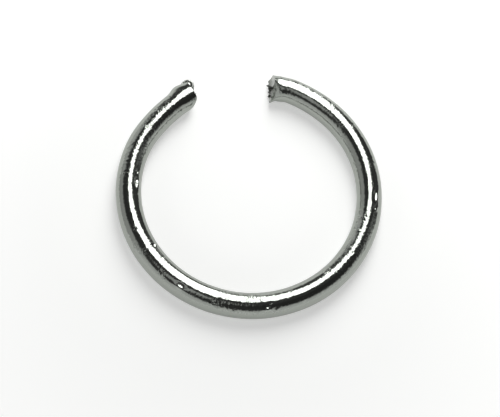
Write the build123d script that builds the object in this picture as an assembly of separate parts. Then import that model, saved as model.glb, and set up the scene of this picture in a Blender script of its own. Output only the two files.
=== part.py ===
from build123d import *
from math import asin, atan2, cos, degrees, hypot, pi, radians, sin, tan
import os

# Snap ring bent from round spring wire, lying in the XY plane.
# The origin is the centre of the ring, halfway up the wire. +Z is the ring's axis, and the gap faces +Y.
# Lengths are in millimetres and angles in degrees.

# Ring
wire_diameter = 2.0
inside_diameter = 16.8
gap_width = 6.3

# Tails: the wire is bent a little harder, then runs straighter, and is bent in again where it was crushed
left_bend_radius = 7.2
left_bend_length = 1.5
left_tail_radius = 12.5
left_tail_length = 2.9
left_end_radius = 16.0
right_bend_radius = 8.6
right_bend_length = 1.6
right_tail_radius = 10.4
right_tail_length = 3.2
right_end_radius = 9.0

# Crushed ends: the cutter squeezed the wire wider in the plane of the ring, and flatter.
# The start and the waist are shares of the length. A shift moves a section towards the middle of the ring.
crush_length = 2.2
crush_start = 0.2
crush_waist = 0.6
crush_height = 1.9
left_waist_width = 2.3
left_waist_shift = -0.08
left_tip_width = 2.12
left_tip_shift = -0.02
right_waist_width = 2.08
right_waist_shift = 0.12
right_tip_width = 2.5
right_tip_shift = 0.39

# Cut: the blade came in over one side of the wire, rolled it over, and left a face that leans back
left_face_lean = 3
left_entry_angle = 205
left_rollover_radius = 1.4
left_rollover_reach = 1.15
right_face_lean = 13
right_entry_angle = 132
right_rollover_radius = 2.6
right_rollover_reach = 1.6

# Fracture: a cup high on the face, where the wire tore out before the blade was through
fracture_radius = 0.7
fracture_depth = 0.22
fracture_up = 0.32
fracture_tilt = 30

# Burr: a thin wall of wire pushed out along the edge where the blade left
burr_thickness = 0.11
burr_height = 0.2
burr_share = 0.9

# Bead: on the left end the burr is rolled up against the outer corner, with a crease round its inside
bead_radius = 0.52
bead_back = 0.02
bead_out = 0.6
bead_bottom = -0.4
bead_top = 0.5
bead_edge_radius = 0.08
crease_wall = 0.17
crease_width = 0.07
crease_depth = 0.3

wire_radius = wire_diameter / 2
mean_radius = inside_diameter / 2 + wire_radius
clear = 2 * wire_diameter

left_turns = [(left_bend_radius, left_bend_length), (left_tail_radius, left_tail_length), (left_end_radius, crush_length)]
right_turns = [(right_bend_radius, right_bend_length), (right_tail_radius, right_tail_length), (right_end_radius, crush_length)]


# Spine

def tail_reach(turns):
    # how far a tail gets along and across the tangent that it starts from, up to the tip of its end
    along = 0.0
    across = 0.0
    heading = 0.0
    for radius, length in turns:
        turn = length / radius
        along += radius * (sin(heading + turn) - sin(heading))
        across += radius * (cos(heading) - cos(heading + turn))
        heading += turn
    return along, across


def main_turn(turns):
    # the turn of the round part, from the middle of the ring's back, that puts the tip half a gap from X = 0
    along, across = tail_reach(turns)
    reach = hypot(mean_radius - across, along)
    return pi - asin(gap_width / 2 / reach) - atan2(along, mean_radius - across)


def half_spine(turns):
    # arcs from the middle of the ring's back, anticlockwise, to the tip
    edges = [JernArc((0, -mean_radius), (1, 0), mean_radius, degrees(main_turn(turns)))]
    for radius, length in turns:
        edges.append(JernArc(edges[-1] @ 1, edges[-1] % 1, radius, degrees(length / radius)))
    return edges


# End of the wire, on the side of +X

class CutEnd:
    def __init__(self, arc, waist_width, waist_shift, tip_width, tip_shift,
                 face_lean, entry_angle, rollover_radius, rollover_reach):
        self.arc = arc
        self.waist_width = waist_width
        self.waist_shift = waist_shift
        self.tip_width = tip_width
        self.tip_shift = tip_shift
        self.face_lean = face_lean
        self.along = arc % 1
        self.outward = Vector(self.along.Y, -self.along.X, 0)
        self.tip = arc @ 1 - self.outward * tip_shift
        self.entry = self.outward * cos(radians(entry_angle)) + Vector(0, 0, 1) * sin(radians(entry_angle))
        self.side = self.reach(tip_width, entry_angle)
        self.rollover_radius = rollover_radius
        self.back = self.face_at(self.side) - rollover_reach
        self.drop = self.reach(max(waist_width, tip_width), entry_angle) - rollover_radius

    def reach(self, width, angle):
        # from the middle of a crushed section to its surface's highest line, seen from the blade
        return hypot(width / 2 * cos(radians(angle)), crush_height / 2 * sin(radians(angle)))

    def face_at(self, up):
        # where the leaning face is along the wire, from how far up it is towards the blade
        return -(self.side + up) * tan(radians(self.face_lean))

    def section(self, share, width, height, shift):
        along = self.arc % min(share, 1)
        outward = Vector(along.Y, -along.X, 0)
        centre = self.arc @ min(share, 1) + along * max(share - 1, 0) * crush_length - outward * shift
        return Plane(centre, x_dir=outward, z_dir=along) * Ellipse(width / 2, height / 2)

    def stub(self):
        # the last stretch of wire, from round through its waist to the crushed tip, left long for the cut
        middle_height = (wire_diameter + crush_height) / 2
        return loft([
            self.section(0, wire_diameter, wire_diameter, 0),
            self.section(crush_start, wire_diameter, wire_diameter, 0),
            self.section(crush_waist, self.waist_width, middle_height, self.waist_shift),
            self.section(1, self.tip_width, crush_height, self.tip_shift),
            self.section(1 + clear / crush_length / 2, self.tip_width, crush_height, self.tip_shift),
        ])

    def across(self, outline):
        # prism right across the wire, from a sketch drawn along the wire and towards the blade
        plane = Plane(self.tip, x_dir=self.along, z_dir=self.along.cross(self.entry))
        return extrude(plane * outline, amount=clear, both=True)

    def waste(self):
        # what the blade takes off: all that is beyond the leaning face, and the corner outside the roll-over
        ahead = make_face(Polyline(
            (self.face_at(-clear), -clear), (clear, -clear), (clear, clear), (self.face_at(clear), clear), close=True
        ))
        corner = make_face(Polyline(
            (self.back, self.drop), (clear, self.drop), (clear, clear), (self.back, clear), close=True
        ))
        corner -= Pos(self.back, self.drop) * Circle(self.rollover_radius)
        return self.across(ahead + corner)

    def burr(self):
        # crescent of thin wall, in the wire's own surface, that stays along the edge where the blade came out
        low = -burr_share * self.side
        slope = (burr_height - self.face_at(low)) / (self.side + low)
        wedge = make_face(Polyline(
            (-crush_length, low), (self.face_at(low), low), (burr_height + slope * clear, -self.side - clear),
            (-crush_length, -self.side - clear), close=True
        ))
        inside = Ellipse(self.tip_width / 2 - burr_thickness, crush_height / 2 - burr_thickness)
        base = Plane(self.tip - self.along * crush_length, x_dir=self.outward, z_dir=self.along)
        return self.across(wedge) - extrude(base * inside, amount=crush_length + clear)

    def fracture(self):
        # ball that leaves the cup
        tilt = radians(fracture_tilt)
        out = self.along * cos(tilt) + self.entry * sin(tilt)
        edge = self.tip + self.along * self.face_at(fracture_up) + self.entry * fracture_up
        centre = edge + out * (fracture_radius - fracture_depth)
        return Plane(centre, x_dir=out, z_dir=self.along.cross(self.entry)) * Sphere(fracture_radius)

    def bead_plane(self, height):
        centre = self.tip - self.along * bead_back + self.outward * bead_out + Vector(0, 0, height)
        return Plane(centre, x_dir=self.along, z_dir=(0, 0, 1))

    def bead(self):
        bead = extrude(self.bead_plane(bead_bottom) * Circle(bead_radius), amount=bead_top - bead_bottom)
        return fillet(bead.edges().filter_by(GeomType.CIRCLE), bead_edge_radius)

    def crease(self):
        outer = bead_radius - crease_wall
        ring = Circle(outer) - Circle(outer - crease_width) - Pos(-outer, 0) * Rectangle(outer, 2 * outer)
        return extrude(self.bead_plane(bead_top - crease_depth) * ring, amount=crease_depth + clear)


def wire_to(spine):
    start = Plane((0, -mean_radius), x_dir=(0, -1, 0), z_dir=(1, 0, 0))
    return sweep(start * Circle(wire_radius), path=Wire(spine))


right_spine = half_spine(right_turns)
right_end = CutEnd(right_spine.pop(), right_waist_width, right_waist_shift, right_tip_width,
                   right_tip_shift, right_face_lean, right_entry_angle, right_rollover_radius, right_rollover_reach)
right_half = wire_to(right_spine) + (right_end.stub() - (right_end.waste() - right_end.burr()) - right_end.fracture())

left_spine = half_spine(left_turns)
left_end = CutEnd(left_spine.pop(), left_waist_width, left_waist_shift, left_tip_width,
                  left_tip_shift, left_face_lean, left_entry_angle, left_rollover_radius, left_rollover_reach)
left_cut = left_end.stub() - (left_end.waste() - left_end.burr()) - left_end.fracture()
left_half = wire_to(left_spine) + (left_cut + left_end.bead() - left_end.crease())

snap_ring = right_half + mirror(left_half, about=Plane.YZ)

os.makedirs("parts", exist_ok=True)
export_step(snap_ring, "parts/snap_ring.step")
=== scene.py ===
import math

import bpy
import numpy as np
from mathutils import Matrix, Vector


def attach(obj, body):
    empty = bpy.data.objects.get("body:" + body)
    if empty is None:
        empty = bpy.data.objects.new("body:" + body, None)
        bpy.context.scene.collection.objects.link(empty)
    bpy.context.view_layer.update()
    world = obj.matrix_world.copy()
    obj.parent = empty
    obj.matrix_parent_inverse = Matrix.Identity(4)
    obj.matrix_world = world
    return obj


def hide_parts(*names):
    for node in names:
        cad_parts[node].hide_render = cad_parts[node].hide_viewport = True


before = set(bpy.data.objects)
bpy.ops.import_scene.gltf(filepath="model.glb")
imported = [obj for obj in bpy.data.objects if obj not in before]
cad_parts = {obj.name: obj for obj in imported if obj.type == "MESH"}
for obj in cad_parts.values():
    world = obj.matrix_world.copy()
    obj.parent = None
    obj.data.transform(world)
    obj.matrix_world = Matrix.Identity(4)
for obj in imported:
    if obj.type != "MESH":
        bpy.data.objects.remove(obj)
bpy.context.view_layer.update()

mm = 0.001  # sizes are in millimetres unless a note says otherwise, and the scene is in metres

# The wire's path and sections repeat the sizes of the part's source.
wire = {
    "diameter": 2.0,
    "insideDiameter": 16.8,
    "gapWidth": 6.3,
    "crushLength": 2.2,
    "crushStart": 0.2,      # shares of the crushed length
    "crushWaist": 0.6,
    "crushHeight": 1.9,
    "pathStep": 0.05,       # between points of the path
    "spareLength": 1.0,     # straight path beyond each tip
    "columns": 112,         # faces round the wire
    "stationStep": 0.078,   # length of a face along the wire
    "rippleHeight": 0.006,  # draw ripples, crest to mean
    "rippleLength": 0.34,
    "waveHeight": 0.02,     # slow waviness left by coiling
    "waveLength": 3.6,
    "seed": 11.0,
}
wireRadius = wire["diameter"] / 2
meanRadius = (wire["insideDiameter"] + wire["diameter"]) / 2

# Bends are the radius and length of each arc, up to the tip. A shift is towards the middle of the ring.
# A face is torn where it is below tearUp and short of tearSide, and cleanly cut elsewhere.
# Spikes stand on the burr: angle round the rim, half width in degrees, height.
leftEnd = {
    "bends": [(7.2, 1.5), (12.5, 2.9), (16.0, 2.2)],
    "waistWidth": 2.3, "waistShift": -0.08,
    "tipWidth": 2.12, "tipShift": -0.02,
    "faceLean": 3, "entryAngle": 205,
    "rolloverRadius": 1.4, "rolloverReach": 1.15, "rolloverSoft": 0.06,
    "tearUp": 0.2, "tearSide": 2.0,
    "spikes": [],
}
rightEnd = {
    "bends": [(8.6, 1.6), (10.4, 3.2), (9.0, 2.2)],
    "waistWidth": 2.08, "waistShift": 0.12,
    "tipWidth": 2.5, "tipShift": 0.39,
    "faceLean": 13, "entryAngle": 132,
    "rolloverRadius": 2.6, "rolloverReach": 1.6, "rolloverSoft": 0.09,
    "tearUp": 0.5, "tearSide": 0.05,
    "spikes": [(303, 5, 0.16), (345, 4, 0.05), (268, 6, 0.06)],
}

fracture = {
    "radius": 0.7, "depth": 0.22, "up": 0.32, "tilt": 30,   # the ball that leaves the cup
    "cupRim": 0.06,         # depth from which the cup is torn all over
    "edgeSoft": 0.1,        # width over which the clean face turns torn
    "upWaves": [(0.3, 1.1, 31), (0.1, 0.3, 32)],   # how that edge wavers: height, length, seed
    "sideWaves": [(0.12, 0.7, 33)],
    "crack": 0.16,          # depth of the crack along that edge
    "crackWidth": 0.075,
    "patchSize": 0.5,       # dark patches of the torn steel
    "patchLevel": 0.6,
    "patchContrast": 0.9,
    "roughness": 0.11,      # height of the torn grain
    "grain": 0.3,
    "fineShare": 0.5,       # a finer grain on top, and how many times finer
    "fineness": 2.3,
    "scuff": 0.006,         # height of the scuffs that the blade left, drawn out upwards
    "scuffLength": 0.12,
}

burr = {
    "height": 0.2,
    "share": 0.9,           # how far round towards the blade's exit it starts
    "thickness": 0.11,
    "raggedLength": 0.35,
    "raggedShare": 0.35,    # of the burr's height
    "raggedHeight": 0.012,  # all round the rim
}

# How the mesh is divided near the ends.
endMesh = {
    "firstRows": [0.0, 0.008, 0.02, 0.04, 0.07],   # distances behind the rim
    "length": 4.0,          # further back, all rows are a station step apart
    "step": 0.03,
    "growth": 0.02,
    "firstRings": [0.99, 0.975, 0.955, 0.93, 0.9],   # shares of the rim's size, on the face
    "innerRings": (0.87, 0.03, 42),   # first, last, count
    "blendFrom": 0.93,      # from this share outwards the face runs into the rim
}

# Small flats pressed into the wire by the coiling tools, where its side catches the softbox.
# Turn and around are degrees on the ring and on the section. Tilt is the slope, above 0 if it faces inwards.
flats = [
    # turn, around, half length, half width, tilt
    (228, 66, 0.32, 0.17, 0.75),
    (268, 59, 0.20, 0.16, 0.85),
    (270, 75, 0.10, 0.12, 0.5),
    (341, 64, 0.12, 0.14, 0.75),
    (347, 65, 0.40, 0.17, 0.75),
    (164, 131, 0.16, 0.15, -0.8),
    (170, 132, 0.45, 0.20, -0.95),
    (205, 128, 0.12, 0.15, -0.7),
    (316, 84, 0.09, 0.12, 0.35),
    (140, 80, 0.12, 0.12, 0.4),
]


def smoothstep(x):
    x = np.clip(x, 0.0, 1.0)
    return x * x * (3 - 2 * x)


def wobble(points, size, seed):
    # smooth noise made of turned sine waves, about -1 to 1, that is the same each run
    waveCount = 14
    rng = np.random.default_rng(seed)
    total = np.zeros(len(points))
    for _ in range(waveCount):
        direction = rng.normal(size=3)
        direction /= np.linalg.norm(direction)
        pace = 2 * math.pi / size * rng.uniform(0.6, 1.7)
        total += np.sin(points @ direction * pace + rng.uniform(0, 2 * math.pi))
    return total / math.sqrt(waveCount)


# The path that the wire is coiled to
def tailReach(bends):
    # how far a tail gets along and across the tangent that it starts from
    along = across = heading = 0.0
    for radius, length in bends:
        turn = length / radius
        along += radius * (math.sin(heading + turn) - math.sin(heading))
        across += radius * (math.cos(heading) - math.cos(heading + turn))
        heading += turn
    return along, across


def halfPath(bends):
    # arcs as (radius, length), from the middle of the ring's back to the tip
    along, across = tailReach(bends)
    reach = math.hypot(meanRadius - across, along)
    turn = math.pi - math.asin(wire["gapWidth"] / 2 / reach) - math.atan2(along, meanRadius - across)
    return [(meanRadius, turn * meanRadius)] + bends


def halfLength(end):
    return sum(length for _, length in halfPath(end["bends"]))


def walkPath(arcs):
    # points from the middle of the ring's back along the arcs, and straight on for the spare length
    x, y, heading = 0.0, -meanRadius, 0.0
    points = [(x, y)]
    for radius, length in arcs:
        count = max(2, round(length / wire["pathStep"]))
        for _ in range(count):
            turn = length / radius / count
            chord = 2 * radius * math.sin(turn / 2)
            x += chord * math.cos(heading + turn / 2)
            y += chord * math.sin(heading + turn / 2)
            heading += turn
            points.append((x, y))
    spare = wire["spareLength"]
    points.append((x + spare * math.cos(heading), y + spare * math.sin(heading)))
    return points


def makePath():
    rightSide = walkPath(halfPath(rightEnd["bends"]))
    leftSide = [(-x, y) for x, y in walkPath(halfPath(leftEnd["bends"]))]
    points = leftSide[:0:-1] + rightSide
    curve = bpy.data.curves.new("coilPath", "CURVE")
    curve.dimensions = "3D"
    spline = curve.splines.new("POLY")
    spline.points.add(len(points) - 1)
    for point, (x, y) in zip(spline.points, points):
        point.co = (x * mm, y * mm, 0, 1)
    path = bpy.data.objects.new("coilPath", curve)
    bpy.context.scene.collection.objects.link(path)
    return path


# The straight rod: x along the wire, y outwards, z up, with its two ends already cut
def sectionAt(end, share):
    # half width, half height and shift of the section at a share of the crushed length
    before, beyond = -0.2, 2.0
    knots = np.array([before, 0.0, wire["crushStart"], wire["crushWaist"], 1.0, beyond])
    waistHeight = (wire["diameter"] + wire["crushHeight"]) / 4
    tipWidth, tipHeight = end["tipWidth"] / 2, wire["crushHeight"] / 2
    widths = [wireRadius] * 3 + [end["waistWidth"] / 2, tipWidth, tipWidth]
    heights = [wireRadius] * 3 + [waistHeight, tipHeight, tipHeight]
    shifts = [0, 0, 0, end["waistShift"], end["tipShift"], end["tipShift"]]
    share = np.clip(share, before, beyond)
    place = np.clip(np.searchsorted(knots, share, side="right") - 1, 0, len(knots) - 2)
    part = smoothstep((share - knots[place]) / (knots[place + 1] - knots[place]))
    result = []
    for values in (widths, heights, shifts):
        values = np.array(values, float)
        result.append(values[place] + (values[place + 1] - values[place]) * part)
    return result


def reachAcross(width, entry):
    # from the middle of a crushed section to its surface's highest line, seen from the blade
    return math.hypot(width / 2 * math.cos(entry), wire["crushHeight"] / 2 * math.sin(entry))


def entryOf(end):
    # the blade's direction across the section, and the tip's surface and roll-over centre along it
    entry = math.radians(end["entryAngle"])
    side = reachAcross(end["tipWidth"], entry)
    drop = reachAcross(max(end["tipWidth"], end["waistWidth"]), entry) - end["rolloverRadius"]
    return entry, side, drop


def faceAt(end, up):
    # how far the leaning face reaches past the tip's plane
    return -(entryOf(end)[1] + up) * math.tan(math.radians(end["faceLean"]))


def wallAt(end, place, angles):
    # wall points at places along the wire, with the blade's side rolled over softly
    half, tall, shift = sectionAt(end, 1 + place / wire["crushLength"])
    y, z = half * np.cos(angles) - shift, tall * np.sin(angles)
    entry, side, drop = entryOf(end)
    back = faceAt(end, side) - end["rolloverReach"]
    up = (y + end["tipShift"]) * math.cos(entry) + z * math.sin(entry)
    ahead = np.maximum(place - back, 0)
    limit = drop + np.sqrt(np.maximum(end["rolloverRadius"] ** 2 - ahead ** 2, 0))
    limit = limit + 0.3 * np.maximum(back - place, 0)   # lifts clear of the wall behind the roll-over
    soft = end["rolloverSoft"]
    lowered = up - soft * np.logaddexp(0, (up - limit) / soft)
    y = y + (lowered - up) * math.cos(entry)
    z = z + (lowered - up) * math.sin(entry)
    return y, z, lowered


def tornShares(end, reach, up, sideways):
    # how torn the face is inside the wavering edge of the tear, how near the crack along it, and the dark patches
    spot = np.stack([reach, up, sideways], 1)
    upEdge, sideEdge = end["tearUp"], end["tearSide"]
    for height, length, seed in fracture["upWaves"]:
        upEdge = upEdge + height * wobble(spot, length, seed)
    for height, length, seed in fracture["sideWaves"]:
        sideEdge = sideEdge + height * wobble(spot, length, seed)
    within = np.minimum(upEdge - up, sideEdge - sideways)
    tear = smoothstep(within / fracture["edgeSoft"] + 0.5)
    crack = np.exp(-(within / fracture["crackWidth"]) ** 2)
    patches = fracture["patchLevel"] + fracture["patchContrast"] * wobble(spot, fracture["patchSize"], 34)
    return tear, crack, patches


def faceSurface(end, y, z):
    # the cut face with its torn cup, and how torn it is there, with painted shade added along the crack
    entry, side, _ = entryOf(end)
    lean = math.tan(math.radians(end["faceLean"]))
    middleY = y + end["tipShift"]
    up = middleY * math.cos(entry) + z * math.sin(entry)
    sideways = middleY * math.sin(entry) - z * math.cos(entry)
    reach = faceAt(end, up)
    tilt = math.radians(fracture["tilt"])
    lift = fracture["radius"] - fracture["depth"]
    centreUp = fracture["up"] + math.sin(tilt) * lift
    centreAlong = -(side + fracture["up"]) * lean + math.cos(tilt) * lift
    away = (up - centreUp) ** 2 + sideways ** 2
    cup = centreAlong - np.sqrt(np.maximum(fracture["radius"] ** 2 - away, 0))
    inside = away < fracture["radius"] ** 2
    cupShare = np.where(inside, smoothstep((reach - cup) / fracture["cupRim"]), 0)
    tear, crack, patches = tornShares(end, reach, up, sideways)
    # the crack is added to the torn share as painted shade, so that its line turns dark
    torn = np.clip(np.maximum(cupShare, tear) * patches + crack, 0, 1)
    return np.where(inside & (cup < reach), cup, reach) - fracture["crack"] * crack, torn


def flatRise(along, angles):
    # how far the tools' flats raise or lower the wire at places along the rod, for each angle round it
    toBack = halfLength(leftEnd)
    total = np.zeros(np.broadcast(along, angles).shape)
    for turn, around, long, wide, tilt in flats:
        centre = toBack + math.radians(turn - 270 if turn > 90 else turn + 90) * meanRadius
        sideways = (np.degrees(angles) - around + 180) % 360 - 180
        across = np.radians(sideways) * wireRadius
        total -= tilt * across * np.exp(-((along - centre) / long) ** 2 - (across / wide) ** 2)
    return total


def wallEnd(end, angles):
    # rows of wall points near one end, as (past the tip, y, z), from the rim inwards
    rim = np.zeros(len(angles))
    for _ in range(40):   # settles the rim where the wall meets the leaning face
        up = wallAt(end, rim, angles)[2]
        rim += (faceAt(end, up) - rim) * 0.6
    side = entryOf(end)[1]
    tipRadius = 1.1
    spot = np.stack([np.cos(angles) * tipRadius, np.sin(angles) * tipRadius, rim], 1)
    ragged = wobble(spot, burr["raggedLength"], 5)
    lip = burr["height"] * smoothstep((-up / side - burr["share"]) / (1 - burr["share"]))
    lip = lip * (1 + burr["raggedShare"] * ragged)
    for angle, halfWidth, height in end["spikes"]:
        away = (np.degrees(angles) - angle + 180) % 360 - 180
        lip = lip + height * np.exp(-(away / halfWidth) ** 2)
    rim = rim + lip + burr["raggedHeight"] * ragged
    behind = list(endMesh["firstRows"])
    while behind[-1] < endMesh["length"]:
        behind.append(behind[-1] + min(wire["stationStep"], endMesh["step"] + endMesh["growth"] * behind[-1]))
    rows = []
    for distance in behind:
        place = -distance + rim * (1 - distance / behind[-1])
        y, z, _ = wallAt(end, place, angles)
        rows.append(np.stack([place, y, z], 1))
    return np.array(rows), lip


def capEnd(end, rim, lip):
    # rings of cap points from the rim to the middle, and how torn each is, with painted shade along the crack
    shares = np.concatenate([endMesh["firstRings"], np.linspace(*endMesh["innerRings"])])
    drawnOut = [1, 1, 0.25]   # scuffs run up and down the face
    rings, tornAndShadeRings = [], []
    centre = rim[:, 1:].mean(0)
    for share in shares:
        yz = centre + (rim[:, 1:] - centre) * share
        reach, tornAndShadeShare = faceSurface(end, yz[:, 0], yz[:, 1])
        spot = np.stack([reach, yz[:, 0], yz[:, 1]], 1)
        fine = fracture["fineShare"] * wobble(spot, fracture["grain"] / fracture["fineness"], 4)
        grain = wobble(spot, fracture["grain"], 3) + fine
        scuff = wobble(spot * drawnOut, fracture["scuffLength"], 8)
        reach = reach + fracture["roughness"] * grain * tornAndShadeShare
        lipShare = smoothstep((share - (1 - 2 * burr["thickness"])) / (2 * burr["thickness"]))
        wallBlend = smoothstep((share - endMesh["blendFrom"]) / (1 - endMesh["blendFrom"]))
        reach = reach + fracture["scuff"] * scuff + lip * lipShare
        reach = reach * (1 - wallBlend) + rim[:, 0] * wallBlend
        rings.append(np.stack([reach, yz[:, 0], yz[:, 1]], 1))
        tornAndShadeRings.append(tornAndShadeShare)
    return np.array(rings), np.array(tornAndShadeRings)


def shellFaces(rows, columns):
    # quads between neighbouring rings, and a fan at each end to one of the two points that follow the rings.
    # Along, outwards and up make a left-handed frame on the coil: wound this way, faces point outwards there.
    faces = []
    for row in range(rows - 1):
        base, after = row * columns, (row + 1) * columns
        for column in range(columns):
            beside = (column + 1) % columns
            faces.append((after + column, after + beside, base + beside, base + column))
    base, first, last = (rows - 1) * columns, rows * columns, rows * columns + 1
    for column in range(columns):
        beside = (column + 1) % columns
        faces.append((column, beside, first))
        faces.append((base + beside, base + column, last))
    return faces


def makeRod():
    # points and faces of the rod, and how torn and how cut each point is; the torn share also carries painted shade
    # along the crack
    columns = wire["columns"]
    angles = np.linspace(0, 2 * math.pi, columns, endpoint=False)
    leftRows, leftLip = wallEnd(leftEnd, angles)
    rightRows, rightLip = wallEnd(rightEnd, angles)
    leftCap, leftTornAndShade = capEnd(leftEnd, leftRows[0], leftLip)
    rightCap, rightTornAndShade = capEnd(rightEnd, rightRows[0], rightLip)
    for block in (leftRows, leftCap):
        block[..., 0] *= -1
    for block in (rightRows, rightCap):
        block[..., 0] += halfLength(leftEnd) + halfLength(rightEnd)

    innerStart, innerEnd = leftRows[-1, 0, 0], rightRows[-1, 0, 0]
    count = round((innerEnd - innerStart) / wire["stationStep"])
    middle = np.linspace(innerStart, innerEnd, count + 1)[1:-1]
    along = np.repeat(middle[:, None], columns, 1)
    around = np.repeat(angles[None], len(middle), 0)
    radius = wireRadius + flatRise(along, around)
    middleRows = np.stack([along, radius * np.cos(around), radius * np.sin(around)], 2)

    rings = np.concatenate([leftCap[::-1], leftRows, middleRows, rightRows[::-1], rightCap])
    zero = np.zeros((len(leftRows) + len(middleRows) + len(rightRows), columns))
    torn = np.concatenate([leftTornAndShade[::-1], zero, rightTornAndShade]).ravel()
    cut = np.concatenate([np.ones_like(leftTornAndShade), zero, np.ones_like(rightTornAndShade)]).ravel()
    points = rings.reshape(-1, 3)
    points = np.vstack([points, points[:columns].mean(0), points[-columns:].mean(0)])
    torn = np.append(torn, [torn[:columns].mean(), torn[-columns:].mean()])
    cut = np.append(cut, [1, 1])
    return points, shellFaces(len(rings), columns), torn, cut


# The burr rolled up against the left tip's outer corner, with a crease round the inside of its top
bead = {
    "radius": 0.52, "back": 0.02, "out": 0.6,
    "bottom": -0.4, "top": 0.5, "edgeRadius": 0.08,
    "creaseWall": 0.17, "creaseWidth": 0.07, "creaseDepth": 0.3,
    "columns": 96,
    "unround": 0.03,        # share of its radius by which it is out of round
    "unroundLength": 0.5,
    "uneven": 0.008,        # ups and downs of its top
    "unevenLength": 0.4,
}


def beadProfile():
    # distance from the bead's axis and height, from the middle of its underside to the middle of its top
    radius, edge, rim = bead["radius"], bead["edgeRadius"], bead["creaseWall"] / 2
    top, bottom = bead["top"], bead["bottom"]
    creaseOut = radius - bead["creaseWall"]
    creaseIn = creaseOut - bead["creaseWidth"]
    creaseFloor = top - bead["creaseDepth"]
    profile = [(0.0, bottom), (radius - edge, bottom)]
    for turn in np.linspace(0.3, 1.57, 5):
        profile.append((radius - edge + edge * math.sin(turn), bottom + edge - edge * math.cos(turn)))
    for z in np.linspace(bottom + 2 * edge, top - 2 * edge, 8):
        profile.append((radius, z))
    for turn in np.linspace(0, math.pi, 13):
        profile.append((radius - rim + rim * math.cos(turn), top - rim + rim * math.sin(turn)))
    # the crease, with its edges broken by a few hundredths
    profile += [(creaseOut, top - rim - 0.05), (creaseOut - 0.01, creaseFloor), (creaseIn, creaseFloor + 0.03)]
    profile += [(creaseIn - 0.01, top - 0.03), (creaseIn - 0.03, top - 0.005), (creaseIn * 0.5, top), (0.0, top)]
    return profile


def makeBead():
    # the profile turned about an upright axis, as points, faces, and how torn and how cut each point is
    columns = bead["columns"]
    profile = beadProfile()
    angles = np.linspace(0, 2 * math.pi, columns, endpoint=False)
    rings = []
    for radius, z in profile[1:-1]:
        spot = np.stack([radius * np.cos(angles), radius * np.sin(angles), np.full(columns, z)], 1)
        bulge = 1 + bead["unround"] * wobble(spot, bead["unroundLength"], 21)
        uneven = bead["uneven"] * wobble(spot, bead["unevenLength"], 22)
        rings.append(np.stack([spot[:, 0] * bulge, spot[:, 1] * bulge, spot[:, 2] + uneven], 1))
    points = np.array(rings).reshape(-1, 3)
    points = np.vstack([points, [0, 0, profile[0][1]], [0, 0, profile[-1][1]]])
    # from the bead's own axes to the rod's: its x points back along the wire
    points[:, 0] += bead["back"]
    points[:, 1] += bead["out"] - leftEnd["tipShift"]
    return points, shellFaces(len(rings), columns), np.zeros(len(points)), np.ones(len(points))


def addPoints(name, parts):
    # one mesh in metres from closed shells, moved on by the path's spare start
    points = np.vstack([part[0] for part in parts])
    points[:, 0] += wire["spareLength"]
    faces, start = [], 0
    for part in parts:
        faces += [tuple(i + start for i in face) for face in part[1]]
        start += len(part[0])
    mesh = bpy.data.meshes.new(name)
    mesh.from_pydata((points * mm).tolist(), [], faces)
    for label, place in (("tornAndShadeFace", 2), ("cutFace", 3)):
        layer = mesh.attributes.new(label, "FLOAT", "POINT")
        layer.data.foreach_set("value", np.concatenate([part[place] for part in parts]).astype(np.float32))
    spot = mesh.attributes.new("wireSpot", "FLOAT_VECTOR", "POINT")
    spot.data.foreach_set("vector", points.astype(np.float32).ravel())
    mesh.update()
    piece = bpy.data.objects.new(name, mesh)
    bpy.context.scene.collection.objects.link(piece)
    return piece


def addNode(tree, kind, settings=None, inputs=None):
    # adds a node; settings are its properties, inputs are values or sockets by name or place
    node = tree.nodes.new(kind)
    for key, value in (settings or {}).items():
        setattr(node, key, value)
    for key, value in (inputs or {}).items():
        socket = node.inputs[key]
        if isinstance(value, bpy.types.NodeSocket):
            tree.links.new(value, socket)
        else:
            socket.default_value = value
    return node


def toLinear(hexCode):
    # sRGB hex to the linear values that Blender wants
    values = [int(hexCode[i:i + 2], 16) / 255 for i in (1, 3, 5)]
    return [v / 12.92 if v <= 0.04045 else ((v + 0.055) / 1.055) ** 2.4 for v in values] + [1.0]


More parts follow.
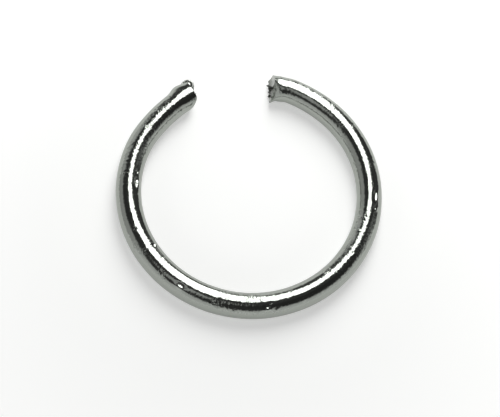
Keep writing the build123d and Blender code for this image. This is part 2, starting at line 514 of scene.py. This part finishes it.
# Geometry Nodes: coil the straight rod to the path and leave the draw ripples on it
def coilTree():
    tree = bpy.data.node_groups.new("coilWire", "GeometryNodeTree")
    interface = tree.interface
    interface.new_socket("Rod", in_out="INPUT", socket_type="NodeSocketGeometry")
    interface.new_socket("Path", in_out="INPUT", socket_type="NodeSocketObject")
    for label in ("Ripple Height", "Ripple Length", "Wave Height", "Wave Length", "Seed"):
        interface.new_socket(label, in_out="INPUT", socket_type="NodeSocketFloat")
    interface.new_socket("Finish", in_out="INPUT", socket_type="NodeSocketMaterial")
    interface.new_socket("Coil", in_out="OUTPUT", socket_type="NodeSocketGeometry")
    given = addNode(tree, "NodeGroupInput").outputs

    # x along the path, y outwards from it, z up
    place = addNode(tree, "GeometryNodeInputPosition").outputs[0]
    axes = addNode(tree, "ShaderNodeSeparateXYZ", inputs={0: place}).outputs
    path = addNode(tree, "GeometryNodeObjectInfo", {"transform_space": "ORIGINAL"}, {"Object": given["Path"]})
    sample = addNode(tree, "GeometryNodeSampleCurve", {"mode": "LENGTH"},
                     {"Curves": path.outputs["Geometry"], "Length": axes["X"]}).outputs
    up = addNode(tree, "ShaderNodeCombineXYZ", inputs={"Z": 1.0}).outputs[0]
    outward = addNode(tree, "ShaderNodeVectorMath", {"operation": "CROSS_PRODUCT"},
                      {0: sample["Tangent"], 1: up}).outputs[0]
    outward = addNode(tree, "ShaderNodeVectorMath", {"operation": "NORMALIZE"}, {0: outward}).outputs[0]
    sideStep = addNode(tree, "ShaderNodeVectorMath", {"operation": "SCALE"},
                       {0: outward, "Scale": axes["Y"]}).outputs[0]
    lift = addNode(tree, "ShaderNodeCombineXYZ", inputs={"Z": axes["Z"]}).outputs[0]
    moved = addNode(tree, "ShaderNodeVectorMath", {"operation": "ADD"},
                    {0: sample["Position"], 1: sideStep}).outputs[0]
    moved = addNode(tree, "ShaderNodeVectorMath", {"operation": "ADD"}, {0: moved, 1: lift}).outputs[0]
    coiled = addNode(tree, "GeometryNodeSetPosition",
                     inputs={"Geometry": given["Rod"], "Position": moved}).outputs[0]

    # ripples and waves along the normal, none on the cut faces
    spot = addNode(tree, "GeometryNodeInputNamedAttribute", {"data_type": "FLOAT_VECTOR"},
                   {"Name": "wireSpot"}).outputs[0]
    cut = addNode(tree, "GeometryNodeInputNamedAttribute", {"data_type": "FLOAT"},
                  {"Name": "cutFace"}).outputs[0]
    height = 0.0
    for length, tall in (("Ripple Length", "Ripple Height"), ("Wave Length", "Wave Height")):
        pace = addNode(tree, "ShaderNodeMath", {"operation": "DIVIDE"}, {0: 1.0, 1: given[length]}).outputs[0]
        noise = addNode(tree, "ShaderNodeTexNoise", {"noise_dimensions": "4D"},
                        {"Vector": spot, "W": given["Seed"], "Scale": pace,
                         "Detail": 1.0, "Roughness": 0.5}).outputs[0]
        centred = addNode(tree, "ShaderNodeMapRange", {"clamp": False},
                          {"Value": noise, "To Min": -1.0, "To Max": 1.0}).outputs[0]
        height = addNode(tree, "ShaderNodeMath", {"operation": "MULTIPLY_ADD"},
                         {0: centred, 1: given[tall], 2: height}).outputs[0]
    keep = addNode(tree, "ShaderNodeMath", {"operation": "SUBTRACT"}, {0: 1.0, 1: cut}).outputs[0]
    height = addNode(tree, "ShaderNodeMath", {"operation": "MULTIPLY"}, {0: height, 1: keep}).outputs[0]
    normal = addNode(tree, "GeometryNodeInputNormal").outputs[0]
    push = addNode(tree, "ShaderNodeVectorMath", {"operation": "SCALE"}, {0: normal, "Scale": height}).outputs[0]
    rippled = addNode(tree, "GeometryNodeSetPosition", inputs={"Geometry": coiled, "Offset": push}).outputs[0]

    smooth = addNode(tree, "GeometryNodeSetShadeSmooth", inputs={"Geometry": rippled}).outputs[0]
    realized = addNode(tree, "GeometryNodeRealizeInstances", inputs={"Geometry": smooth}).outputs[0]
    dressed = addNode(tree, "GeometryNodeSetMaterial",
                      inputs={"Geometry": realized, "Material": given["Finish"]}).outputs[0]
    addNode(tree, "NodeGroupOutput", inputs={"Coil": dressed})
    return tree


def runTree(piece, tree, values):
    # runs a tree on a piece and keeps the result as a plain mesh
    step = piece.modifiers.new("coil", "NODES")
    step.node_group = tree
    sockets = {item.name: item.identifier for item in tree.interface.items_tree if item.in_out == "INPUT"}
    for label, value in values.items():
        step[sockets[label]] = value
    bpy.context.view_layer.update()
    result = bpy.data.meshes.new_from_object(piece.evaluated_get(bpy.context.evaluated_depsgraph_get()))
    piece.modifiers.remove(step)
    piece.data = result


# Spring steel wire, cold drawn through a die and lightly oiled, with sheared ends
finish = {
    "colour": "#9a9e98",
    "roughness": 0.13,
    "cutColour": "#a0a29e",   # clean steel, a little brighter than the drawn skin
    "cutRoughness": 0.3,
    "tornPitShadeColour": "#2f302d",  # painted shade: the pits and teeth hold the light back, drawn into the dull torn steel's colour
    "tornRoughness": 0.28,
    "chatterLength": 0.2,     # mm between the marks of the coiling rolls
    "chatterStretch": (1.0, 0.6, 0.6),   # longer round the wire than along it
    "chatterDepth": 0.03,     # drawn deeper than real, so that it shows
    "wornPace": 0.35,         # changes per mm between wire that is worn more and less
    "wornNoise": (0.35, 0.65),   # noise from least worn to most
    "wornLeast": 0.35,        # share of the chatter where it is worn least
    "markLength": 0.9,        # mm across the patches where handling has marked the wire
    "markNoise": (0.62, 0.72),   # noise from no mark to a full one
    "markDepth": 1.5,         # how many times deeper the chatter is there
}


def brightSpringWire():
    # The die leaves hard mirror bands along the wire. Rolls and handling break up their edges.
    made = bpy.data.materials.new("brightDrawnSpringSteel")
    made.use_nodes = True
    tree = made.node_tree
    shader = tree.nodes["Principled BSDF"]
    shader.inputs["Metallic"].default_value = 1.0
    spot = addNode(tree, "ShaderNodeAttribute", {"attribute_name": "wireSpot"}).outputs["Vector"]
    cut = addNode(tree, "ShaderNodeAttribute", {"attribute_name": "cutFace"}).outputs["Fac"]
    # how torn the face is, which picks the torn colour: dull torn steel with painted shade of its pits and its crack
    torn = addNode(tree, "ShaderNodeAttribute", {"attribute_name": "tornAndShadeFace"}).outputs["Fac"]

    tone = addNode(tree, "ShaderNodeMix", {"data_type": "RGBA"},
                   {"Factor": cut, 6: toLinear(finish["colour"]), 7: toLinear(finish["cutColour"])}).outputs[2]
    # painted shade: torn steel and the crack along its edge take the dark torn colour
    tone = addNode(tree, "ShaderNodeMix", {"data_type": "RGBA"},
                   {"Factor": torn, 6: tone, 7: toLinear(finish["tornPitShadeColour"])}).outputs[2]
    rough = addNode(tree, "ShaderNodeMapRange",
                    inputs={"Value": cut, "To Min": finish["roughness"], "To Max": finish["cutRoughness"]}).outputs[0]
    rough = addNode(tree, "ShaderNodeMix", inputs={"Factor": torn, 2: rough, 3: finish["tornRoughness"]}).outputs[0]

    stretch = addNode(tree, "ShaderNodeMapping",
                      inputs={"Vector": spot, "Scale": finish["chatterStretch"]}).outputs[0]
    chatter = addNode(tree, "ShaderNodeTexNoise",
                      inputs={"Vector": stretch, "Scale": 1 / finish["chatterLength"], "Detail": 2.0}).outputs[0]
    worn = addNode(tree, "ShaderNodeTexNoise",
                   inputs={"Vector": spot, "Scale": finish["wornPace"], "Detail": 0.0}).outputs[0]
    low, high = finish["wornNoise"]
    worn = addNode(tree, "ShaderNodeMapRange",
                   inputs={"Value": worn, "From Min": low, "From Max": high,
                           "To Min": finish["wornLeast"], "To Max": 1.0}).outputs[0]
    marks = addNode(tree, "ShaderNodeTexNoise",
                    inputs={"Vector": spot, "Scale": 1 / finish["markLength"], "Detail": 0.0}).outputs[0]
    low, high = finish["markNoise"]
    marks = addNode(tree, "ShaderNodeMapRange",
                    inputs={"Value": marks, "From Min": low, "From Max": high,
                            "To Max": finish["markDepth"]}).outputs[0]
    deep = addNode(tree, "ShaderNodeMath", {"operation": "ADD"}, {0: worn, 1: marks}).outputs[0]
    deep = addNode(tree, "ShaderNodeMath", {"operation": "MULTIPLY"},
                   {0: deep, 1: finish["chatterDepth"] * mm}).outputs[0]
    bump = addNode(tree, "ShaderNodeBump", inputs={"Height": chatter, "Distance": deep}).outputs[0]
    tree.links.new(tone, shader.inputs["Base Color"])
    tree.links.new(rough, shader.inputs["Roughness"])
    tree.links.new(bump, shader.inputs["Normal"])
    return made


print("making the wire")
coilPath = makePath()
ring = addPoints("snapRingWire", [makeRod(), makeBead()])
runTree(ring, coilTree(), {
    "Path": coilPath,
    "Ripple Height": wire["rippleHeight"] * mm,
    "Ripple Length": wire["rippleLength"],
    "Wave Height": wire["waveHeight"] * mm,
    "Wave Length": wire["waveLength"],
    "Seed": wire["seed"],
    "Finish": brightSpringWire(),
})
bpy.data.objects.remove(coilPath)
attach(ring, "root")
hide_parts("snap_ring")
print("wire made,", len(ring.data.polygons), "faces")


# Stage: pale floor and soft studio light
stage = {
    "floorSize": 3.0,        # metres
    "floorGap": 0.01,        # mm below the wire
    "floorColour": "#e9eae8",
    "floorLift": [(0.016, 0.4), (0.03, 0.5), (0.05, 0.5), (0.3, 0.8)],   # metres out, and what the floor adds there
    "lowLevel": 1.0,         # foot of the walls
    "wallLevel": 0.8,        # the studio's pale walls, up to wallTop
    "footHeights": (0.1, 0.3),   # sines of the heights between which the foot turns into wall
    "wallTop": 52,           # degrees above the floor
    "wallSoft": 0.06,
    "ceilingLevel": 0.07,
}
cards = {
    # cards round the ring. name: azimuth, elevation, radius and soft edge in degrees, level
    "softboxSurround": (60, 46, 36, 5, 0.05),
    "lowRight": (20, 15, 24, 7, 0.07),
    "lowLeft": (97, 24, 15, 4, 0.08),
    "underSoftbox": (62, 3, 13, 4, 0.12),
    "left": (158, 20, 24, 8, 0.55),
    "backLeft": (138, 58, 22, 5, 0.05),
    "highLeft": (205, 56, 22, 6, 0.06),
    "topLeft": (211, 70, 12, 4, 0.6),
    "front": (260, 50, 23, 5, 0.05),
    "frontRight": (309, 50, 20, 8, 0.04),
    "right": (336, 45, 20, 8, 0.04),
}
lamps = {
    # name: azimuth and elevation in degrees, distance, width and height in metres, watts
    "backSoftbox": (65, 47, 0.10, 0.058, 0.125, 0.088),
}


def seenRays(tree):
    # 1 for the camera, for reflections and through glass, 0 for light on surfaces
    rays = addNode(tree, "ShaderNodeLightPath").outputs
    some = addNode(tree, "ShaderNodeMath", {"operation": "MAXIMUM"},
                   {0: rays["Is Camera Ray"], 1: rays["Is Glossy Ray"]}).outputs[0]
    return addNode(tree, "ShaderNodeMath", {"operation": "MAXIMUM"},
                   {0: some, 1: rays["Is Transmission Ray"]}).outputs[0]


def mattPaper():
    # matt paper off a roll: no gloss, and a lift towards white that keeps the ring's shadow
    paper = bpy.data.materials.new("mattPaper")
    paper.use_nodes = True
    tree = paper.node_tree
    shader = tree.nodes["Principled BSDF"]
    shader.inputs["Base Color"].default_value = toLinear(stage["floorColour"])
    shader.inputs["Roughness"].default_value = 0.95
    shader.inputs["Specular IOR Level"].default_value = 0.0
    shader.inputs["Emission Color"].default_value = (1, 1, 1, 1)
    spot = addNode(tree, "ShaderNodeTexCoord").outputs["Object"]
    out = addNode(tree, "ShaderNodeVectorMath", {"operation": "LENGTH"}, {0: spot}).outputs["Value"]
    steps = stage["floorLift"]
    lift = steps[0][1]
    for (near, _), (far, level) in zip(steps, steps[1:]):
        share = addNode(tree, "ShaderNodeMapRange",
                        inputs={"Value": out, "From Min": near, "From Max": far}).outputs[0]
        lift = addNode(tree, "ShaderNodeMix", inputs={"Factor": share, 2: lift, 3: level}).outputs[0]
    lifted = addNode(tree, "ShaderNodeMath", {"operation": "MULTIPLY"}, {0: seenRays(tree), 1: lift}).outputs[0]
    tree.links.new(lifted, shader.inputs["Emission Strength"])
    return paper


def makeFloor():
    half = stage["floorSize"] / 2
    level = -(wireRadius + stage["floorGap"]) * mm
    corners = [(-half, -half, level), (half, -half, level), (half, half, level), (-half, half, level)]
    mesh = bpy.data.meshes.new("floor")
    mesh.from_pydata(corners, [], [(0, 1, 2, 3)])
    mesh.materials.append(mattPaper())
    floor = bpy.data.objects.new("floor", mesh)
    bpy.context.scene.collection.objects.link(floor)


def towards(azimuth, elevation):
    turn, tilt = math.radians(azimuth), math.radians(elevation)
    return Vector((math.cos(turn) * math.cos(tilt), math.sin(turn) * math.cos(tilt), math.sin(tilt)))


def makeWorld():
    # pale walls under a dim ceiling, with the cards laid over them in order
    world = bpy.data.worlds.new("studio")
    bpy.context.scene.world = world
    world.use_nodes = True
    tree = world.node_tree
    sky = tree.nodes["Background"]
    direction = addNode(tree, "ShaderNodeTexCoord").outputs["Generated"]
    height = addNode(tree, "ShaderNodeSeparateXYZ", inputs={0: direction}).outputs["Z"]
    footStart, footEnd = stage["footHeights"]
    level = addNode(tree, "ShaderNodeMapRange", {"interpolation_type": "SMOOTHSTEP"},
                    {"Value": height, "From Min": footStart, "From Max": footEnd,
                     "To Min": stage["lowLevel"], "To Max": stage["wallLevel"]}).outputs[0]
    top = math.sin(math.radians(stage["wallTop"]))
    level = addNode(tree, "ShaderNodeMapRange", {"interpolation_type": "SMOOTHSTEP"},
                    {"Value": height, "From Min": top - stage["wallSoft"], "From Max": top + stage["wallSoft"],
                     "To Min": level, "To Max": stage["ceilingLevel"]}).outputs[0]
    for azimuth, elevation, radius, soft, cardLevel in cards.values():
        near = addNode(tree, "ShaderNodeVectorMath", {"operation": "DOT_PRODUCT"},
                       {0: direction, 1: towards(azimuth, elevation)}).outputs["Value"]
        inside = addNode(tree, "ShaderNodeMapRange", {"interpolation_type": "SMOOTHSTEP"},
                         {"Value": near, "From Min": math.cos(math.radians(radius + soft)),
                          "From Max": math.cos(math.radians(radius - soft))}).outputs[0]
        level = addNode(tree, "ShaderNodeMix", inputs={"Factor": inside, 2: level, 3: cardLevel}).outputs[0]
    tree.links.new(level, sky.inputs["Strength"])
    sky.inputs["Color"].default_value = (1, 1, 1, 1)


def makeLamp(name, azimuth, elevation, distance, width, height, watts):
    light = bpy.data.lights.new(name, "AREA")
    light.shape = "ELLIPSE"
    light.size, light.size_y = width, height
    light.energy = watts
    lamp = bpy.data.objects.new(name, light)
    bpy.context.scene.collection.objects.link(lamp)
    where = towards(azimuth, elevation) * distance
    lamp.location = where
    lamp.rotation_euler = (-where).to_track_quat("-Z", "Y").to_euler()


# Fitted to the ring's outline in the photograph: 66 degrees above the floor, from the front left
view = {
    "place": (-13.70767, -40.24298, 99.53619),
    "aim": (-0.20676, -1.45881, 0.0),
    "top": (0.12709, 0.91337, 0.38678),   # the picture's up
    "lens": 100,
    "sensorWidth": 36,
    "clip": (0.005, 20),   # metres
}


def makeCamera():
    place, aim = Vector(view["place"]) * mm, Vector(view["aim"]) * mm
    forward = (aim - place).normalized()
    right = forward.cross(Vector(view["top"])).normalized()
    top = right.cross(forward)
    data = bpy.data.cameras.new("camera")
    data.lens = view["lens"]
    data.sensor_width = view["sensorWidth"]
    data.clip_start, data.clip_end = view["clip"]
    camera = bpy.data.objects.new("camera", data)
    camera.matrix_world = Matrix.Translation(place) @ Matrix((right, top, -forward)).transposed().to_4x4()
    bpy.context.scene.collection.objects.link(camera)
    bpy.context.scene.camera = camera


makeFloor()
makeWorld()
for name, values in lamps.items():
    makeLamp(name, *values)
makeCamera()
bpy.context.scene.view_settings.view_transform = "Standard"
print("stage made")
